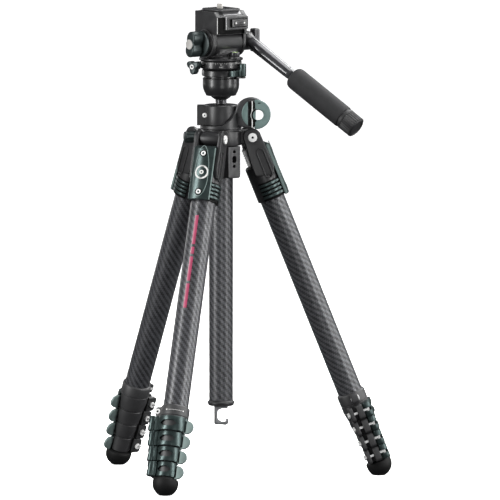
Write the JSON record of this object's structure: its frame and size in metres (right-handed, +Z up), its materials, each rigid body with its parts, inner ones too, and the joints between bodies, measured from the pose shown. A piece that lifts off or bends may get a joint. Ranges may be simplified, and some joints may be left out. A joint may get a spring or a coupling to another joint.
{
  "type": "travel tripod with video pan head",
  "caption": "Folding tripod with telescoping lever-lock legs, a lifting centre column and a levelling video pan head with a handle.",
  "frame": {"origin": "centre of the bounding box's footprint, on the floor", "axes": "+Z up along the centre column; -Y along the front leg"},
  "size_m": [0.307, 0.2732, 0.4769],
  "materials": {
    "cast_black": "cast and machined, satin black coat",
    "grey_green": "satin grey-green anodised",
    "carbon": "clear-coated carbon weave",
    "rubber": "matt",
    "steel": "satin",
    "foam": "closed-cell foam",
    "vial": "clear green",
    "black_plastic": "matt"
  },
  "bodies": {
    "crown": {"crown": "cast_black", "accessory_bracket": "cast_black"},
    "leg_front": {"leg_front_casting": "cast_black", "leg_front_cover": "grey_green", "leg_front_section_1": "carbon"},
    "leg_front_angle_latch": {"leg_front_angle_latch": "cast_black"},
    "leg_front_section_2": {"leg_front_section_2": "carbon"},
    "leg_front_section_3": {"leg_front_section_3": "carbon"},
    "leg_front_section_4": {"leg_front_section_4": "carbon"},
    "leg_front_foot_section": {"leg_front_foot_section": "rubber"},
    "leg_front_lever_1": {"leg_front_lever_1": "grey_green"},
    "leg_front_lever_2": {"leg_front_lever_2": "grey_green"},
    "leg_front_lever_3": {"leg_front_lever_3": "grey_green"},
    "leg_front_lever_4": {"leg_front_lever_4": "grey_green"},
    "leg_right": {"leg_right_casting": "cast_black", "leg_right_cover": "grey_green", "leg_right_section_1": "carbon"},
    "leg_right_angle_latch": {"leg_right_angle_latch": "cast_black"},
    "leg_right_section_2": {"leg_right_section_2": "carbon"},
    "leg_right_section_3": {"leg_right_section_3": "carbon"},
    "leg_right_section_4": {"leg_right_section_4": "carbon"},
    "leg_right_foot_section": {"leg_right_foot_section": "rubber"},
    "leg_right_lever_1": {"leg_right_lever_1": "grey_green"},
    "leg_right_lever_2": {"leg_right_lever_2": "grey_green"},
    "leg_right_lever_3": {"leg_right_lever_3": "grey_green"},
    "leg_right_lever_4": {"leg_right_lever_4": "grey_green"},
    "leg_left": {"leg_left_casting": "cast_black", "leg_left_cover": "grey_green", "leg_left_section_1": "carbon"},
    "leg_left_angle_latch": {"leg_left_angle_latch": "cast_black"},
    "leg_left_section_2": {"leg_left_section_2": "carbon"},
    "leg_left_section_3": {"leg_left_section_3": "carbon"},
    "leg_left_section_4": {"leg_left_section_4": "carbon"},
    "leg_left_foot_section": {"leg_left_foot_section": "rubber"},
    "leg_left_lever_1": {"leg_left_lever_1": "grey_green"},
    "leg_left_lever_2": {"leg_left_lever_2": "grey_green"},
    "leg_left_lever_3": {"leg_left_lever_3": "grey_green"},
    "leg_left_lever_4": {"leg_left_lever_4": "grey_green"},
    "crown_knob": {"crown_knob": "grey_green"},
    "column_lock_lever": {"column_lock_lever": "grey_green"},
    "column": {"column_tube": "carbon", "column_end_cap": "cast_black", "column_head": "cast_black", "ball_stem": "steel"},
    "weight_hook": {"weight_hook": "steel"},
    "ball_seat": {"ball_seat_ring": "black_plastic"},
    "ball_housing": {"ball_housing": "cast_black", "pan_base": "cast_black"},
    "ball_clamp_lever": {"ball_clamp_lever": "grey_green"},
    "pan_lock_knob": {"pan_lock_knob": "grey_green"},
    "pan_head": {"head_body": "cast_black", "bubble_level": "vial"},
    "tilt_knob": {"tilt_knob": "grey_green"},
    "tilt_top": {"plate_clamp": "cast_black"},
    "plate_lock_button": {"plate_lock_button": "cast_black"},
    "camera_plate": {"camera_plate": "cast_black"},
    "camera_screw": {"camera_screw": "steel"},
    "handle": {"handle_arm": "cast_black", "handle_grip": "foam"},
    "handle_clamp_knob": {"handle_clamp_knob": "cast_black"}
  },
  "joints": [
    {"name": "leg_front_fold", "type": "hinge", "parent": "crown", "child": "leg_front", "pos_m": [-0.00147, 0.00772, 0.3433], "axis": [-1, 0, 0], "range_deg": [-20, 58]},
    {"name": "leg_front_angle_latch_turn", "type": "hinge", "parent": "leg_front", "child": "leg_front_angle_latch", "pos_m": [-0.00147, 0.00633, 0.31798], "axis": [-1, 0, 0], "range_deg": [0, 15], "stiffness_Nm_per_rad": 0.03, "springref_deg": -17.19},
    {"name": "leg_front_section_2_extend", "type": "slide", "parent": "leg_front", "child": "leg_front_section_2", "axis": [0, -0.3746, -0.9272], "range_m": [0, 0.22]},
    {"name": "leg_front_section_3_extend", "type": "slide", "parent": "leg_front_section_2", "child": "leg_front_section_3", "axis": [0, -0.3746, -0.9272], "range_m": [0, 0.22]},
    {"name": "leg_front_section_4_extend", "type": "slide", "parent": "leg_front_section_3", "child": "leg_front_section_4", "axis": [0, -0.3746, -0.9272], "range_m": [0, 0.22]},
    {"name": "leg_front_foot_section_extend", "type": "slide", "parent": "leg_front_section_4", "child": "leg_front_foot_section", "axis": [0, -0.3746, -0.9272], "range_m": [0, 0.22]},
    {"name": "leg_front_lever_1_flip", "type": "hinge", "parent": "leg_front", "child": "leg_front_lever_1", "pos_m": [-0.02038, -0.10886, 0.06916], "axis": [0, -0.3746, -0.9272], "range_deg": [0, 110]},
    {"name": "leg_front_lever_2_flip", "type": "hinge", "parent": "leg_front_section_2", "child": "leg_front_lever_2", "pos_m": [-0.01868, -0.11467, 0.05479], "axis": [0, -0.3746, -0.9272], "range_deg": [0, 110]},
    {"name": "leg_front_lever_3_flip", "type": "hinge", "parent": "leg_front_section_3", "child": "leg_front_lever_3", "pos_m": [-0.01717, -0.12048, 0.04042], "axis": [0, -0.3746, -0.9272], "range_deg": [0, 110]},
    {"name": "leg_front_lever_4_flip", "type": "hinge", "parent": "leg_front_section_4", "child": "leg_front_lever_4", "pos_m": [-0.01568, -0.12628, 0.02605], "axis": [0, -0.3746, -0.9272], "range_deg": [0, 110]},
    {"name": "leg_right_fold", "type": "hinge", "parent": "crown", "child": "leg_right", "pos_m": [0.02399, 0.05182, 0.3433], "axis": [0.5, -0.866, 0], "range_deg": [-20, 58]},
    {"name": "leg_right_angle_latch_turn", "type": "hinge", "parent": "leg_right", "child": "leg_right_angle_latch", "pos_m": [0.02519, 0.05251, 0.31798], "axis": [0.5, -0.866, 0], "range_deg": [0, 15], "stiffness_Nm_per_rad": 0.03, "springref_deg": -17.19},
    {"name": "leg_right_section_2_extend", "type": "slide", "parent": "leg_right", "child": "leg_right_section_2", "axis": [0.3244, 0.1873, -0.9272], "range_m": [0, 0.22]},
    {"name": "leg_right_section_3_extend", "type": "slide", "parent": "leg_right_section_2", "child": "leg_right_section_3", "axis": [0.3244, 0.1873, -0.9272], "range_m": [0, 0.22]},
    {"name": "leg_right_section_4_extend", "type": "slide", "parent": "leg_right_section_3", "child": "leg_right_section_4", "axis": [0.3244, 0.1873, -0.9272], "range_m": [0, 0.22]},
    {"name": "leg_right_foot_section_extend", "type": "slide", "parent": "leg_right_section_4", "child": "leg_right_foot_section", "axis": [0.3244, 0.1873, -0.9272], "range_m": [0, 0.22]},
    {"name": "leg_right_lever_1_flip", "type": "hinge", "parent": "leg_right", "child": "leg_right_lever_1", "pos_m": [0.1344, 0.09374, 0.06916], "axis": [0.3244, 0.1873, -0.9272], "range_deg": [0, 110]},
    {"name": "leg_right_lever_2_flip", "type": "hinge", "parent": "leg_right_section_2", "child": "leg_right_lever_2", "pos_m": [0.13858, 0.09812, 0.05479], "axis": [0.3244, 0.1873, -0.9272], "range_deg": [0, 110]},
    {"name": "leg_right_lever_3_flip", "type": "hinge", "parent": "leg_right_section_3", "child": "leg_right_lever_3", "pos_m": [0.14286, 0.10232, 0.04042], "axis": [0.3244, 0.1873, -0.9272], "range_deg": [0, 110]},
    {"name": "leg_right_lever_4_flip", "type": "hinge", "parent": "leg_right_section_4", "child": "leg_right_lever_4", "pos_m": [0.14714, 0.10652, 0.02605], "axis": [0.3244, 0.1873, -0.9272], "range_deg": [0, 110]},
    {"name": "leg_left_fold", "type": "hinge", "parent": "crown", "child": "leg_left", "pos_m": [-0.02694, 0.05182, 0.3433], "axis": [0.5, 0.866, 0], "range_deg": [-20, 58]},
    {"name": "leg_left_angle_latch_turn", "type": "hinge", "parent": "leg_left", "child": "leg_left_angle_latch", "pos_m": [-0.02814, 0.05251, 0.31798], "axis": [0.5, 0.866, 0], "range_deg": [0, 15], "stiffness_Nm_per_rad": 0.03, "springref_deg": -17.19},
    {"name": "leg_left_section_2_extend", "type": "slide", "parent": "leg_left", "child": "leg_left_section_2", "axis": [-0.3244, 0.1873, -0.9272], "range_m": [0, 0.22]},
    {"name": "leg_left_section_3_extend", "type": "slide", "parent": "leg_left_section_2", "child": "leg_left_section_3", "axis": [-0.3244, 0.1873, -0.9272], "range_m": [0, 0.22]},
    {"name": "leg_left_section_4_extend", "type": "slide", "parent": "leg_left_section_3", "child": "leg_left_section_4", "axis": [-0.3244, 0.1873, -0.9272], "range_m": [0, 0.22]},
    {"name": "leg_left_foot_section_extend", "type": "slide", "parent": "leg_left_section_4", "child": "leg_left_foot_section", "axis": [-0.3244, 0.1873, -0.9272], "range_m": [0, 0.22]},
    {"name": "leg_left_lever_1_flip", "type": "hinge", "parent": "leg_left", "child": "leg_left_lever_1", "pos_m": [-0.11845, 0.12648, 0.06916], "axis": [-0.3244, 0.1873, -0.9272], "range_deg": [0, 110]},
    {"name": "leg_left_lever_2_flip", "type": "hinge", "parent": "leg_left_section_2", "child": "leg_left_lever_2", "pos_m": [-0.12433, 0.12791, 0.05479], "axis": [-0.3244, 0.1873, -0.9272], "range_deg": [0, 110]},
    {"name": "leg_left_lever_3_flip", "type": "hinge", "parent": "leg_left_section_3", "child": "leg_left_lever_3", "pos_m": [-0.13011, 0.12951, 0.04042], "axis": [-0.3244, 0.1873, -0.9272], "range_deg": [0, 110]},
    {"name": "leg_left_lever_4_flip", "type": "hinge", "parent": "leg_left_section_4", "child": "leg_left_lever_4", "pos_m": [-0.13589, 0.13112, 0.02605], "axis": [-0.3244, 0.1873, -0.9272], "range_deg": [0, 110]},
    {"name": "crown_knob_turn", "type": "hinge", "parent": "crown", "child": "crown_knob", "pos_m": [-0.02746, 0.02212, 0.3436], "axis": [-0.866, -0.5, 0], "continuous": true},
    {"name": "column_lock_flip", "type": "hinge", "parent": "crown", "child": "column_lock_lever", "pos_m": [0.03236, 0.03188, 0.368], "axis": [0, 0, -1], "range_deg": [0, 100]},
    {"name": "column_lift", "type": "slide", "parent": "crown", "child": "column", "axis": [0, 0, 1], "range_m": [0, 0.22]},
    {"name": "hook_turn", "type": "hinge", "parent": "column", "child": "weight_hook", "pos_m": [-0.00147, 0.03712, 0.072], "axis": [0, 0, 1], "continuous": true},
    {"name": "ball_tilt_x", "type": "hinge", "parent": "column", "child": "ball_seat", "pos_m": [-0.00147, 0.03712, 0.3932], "axis": [0.9397, 0.342, 0], "range_deg": [-20, 20]},
    {"name": "ball_tilt_y", "type": "hinge", "parent": "ball_seat", "child": "ball_housing", "pos_m": [-0.00147, 0.03712, 0.3932], "axis": [-0.342, 0.9397, 0], "range_deg": [-20, 20]},
    {"name": "ball_clamp_flip", "type": "hinge", "parent": "ball_housing", "child": "ball_clamp_lever", "pos_m": [0.02289, 0.0337, 0.408], "axis": [0, 0, 1], "range_deg": [0, 70]},
    {"name": "pan_lock_turn", "type": "hinge", "parent": "ball_housing", "child": "pan_lock_knob", "pos_m": [-0.02019, 0.02626, 0.4146], "axis": [-0.2924, -0.9563, 0], "continuous": true},
    {"name": "pan", "type": "hinge", "parent": "ball_housing", "child": "pan_head", "pos_m": [-0.00147, 0.03712, 0.42], "axis": [0, 0, 1], "continuous": true},
    {"name": "tilt_knob_turn", "type": "hinge", "parent": "pan_head", "child": "tilt_knob", "pos_m": [-0.01796, 0.00969, 0.438], "axis": [-0.515, -0.8572, 0], "continuous": true},
    {"name": "tilt", "type": "hinge", "parent": "pan_head", "child": "tilt_top", "pos_m": [-0.00147, 0.03712, 0.438], "axis": [0.515, 0.8572, 0], "range_deg": [-60, 30]},
    {"name": "plate_lock_slide", "type": "slide", "parent": "tilt_top", "child": "plate_lock_button", "axis": [-0.515, -0.8572, 0], "range_m": [0, 0.0038], "stiffness_N_per_m": 60, "springref_m": -0.002},
    {"name": "camera_plate_slide", "type": "slide", "parent": "tilt_top", "child": "camera_plate", "axis": [0.8572, -0.515, 0], "range_m": [-0.012, 0.012]},
    {"name": "camera_screw_turn", "type": "hinge", "parent": "camera_plate", "child": "camera_screw", "pos_m": [-0.00225, 0.03583, 0.47], "axis": [0, 0, 1], "continuous": true},
    {"name": "handle_angle", "type": "hinge", "parent": "tilt_top", "child": "handle", "pos_m": [0.01295, 0.06112, 0.438], "axis": [-0.515, -0.8572, 0], "range_deg": [-20, 60]},
    {"name": "handle_clamp_turn", "type": "hinge", "parent": "handle", "child": "handle_clamp_knob", "pos_m": [0.02016, 0.07312, 0.438], "axis": [0.515, 0.8572, 0], "continuous": true}
  ]
}
